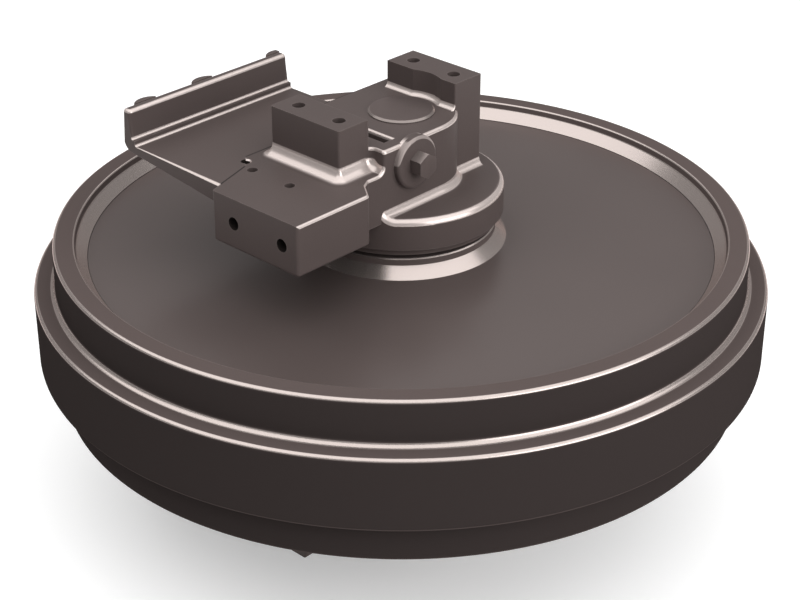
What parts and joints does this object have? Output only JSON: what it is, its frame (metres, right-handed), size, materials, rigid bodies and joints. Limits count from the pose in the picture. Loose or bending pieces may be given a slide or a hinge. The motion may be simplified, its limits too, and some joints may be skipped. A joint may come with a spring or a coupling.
{
  "type": "excavator front idler",
  "caption": "Steel front idler wheel with a centre flange on a fixed shaft between cast supports with yoke blocks, guide posts and wing plates.",
  "frame": {"origin": "centre of the wheel, on its axis and midway between the supports; also the centre of the bounding box", "axes": "+Z along the wheel's axis towards the upper support; -X towards the yoke blocks; +Y towards the wing plates; the part lies on the posts of its lower support as in the picture"},
  "size_m": [1, 1, 0.625],
  "materials": {
    "wheel_steel": "dark brown-grey steel, semi-gloss",
    "cast_bracket": "dark brown-grey cast steel, semi-gloss",
    "wing_steel": "dark brown-grey plate, semi-gloss",
    "shaft_steel": "turned steel",
    "fastener_steel": "dark bolt steel",
    "seal_steel": "lapped steel",
    "bronze": "machined bronze",
    "seal_rubber": "black rubber",
    "plug_washer": "soft aluminium washer"
  },
  "bodies": {
    "support": {"shaft": "shaft_steel", "upper_bracket": "cast_bracket", "lower_bracket": "cast_bracket", "upper_wing_plate": "wing_steel", "lower_wing_plate": "wing_steel", "upper_wear_ribs": "wing_steel", "lower_wear_ribs": "wing_steel", "upper_lock_bolt": "fastener_steel", "lower_lock_bolt": "fastener_steel", "upper_fixed_seal_ring": "seal_steel", "lower_fixed_seal_ring": "seal_steel", "upper_fixed_toric": "seal_rubber", "lower_fixed_toric": "seal_rubber", "upper_shaft_o_ring": "seal_rubber", "lower_shaft_o_ring": "seal_rubber", "oil_plug": "fastener_steel", "oil_plug_washer": "plug_washer"},
    "wheel": {"rim": "wheel_steel", "upper_web": "wheel_steel", "lower_web": "wheel_steel", "hub": "wheel_steel", "upper_bush": "bronze", "lower_bush": "bronze", "upper_rotating_seal_ring": "seal_steel", "lower_rotating_seal_ring": "seal_steel", "upper_rotating_toric": "seal_rubber", "lower_rotating_toric": "seal_rubber"}
  },
  "joints": [
    {"name": "wheel_spin", "type": "hinge", "parent": "support", "child": "wheel", "pos_m": [0, 0, 0], "axis": [0, 0, 1], "continuous": true}
  ]
}
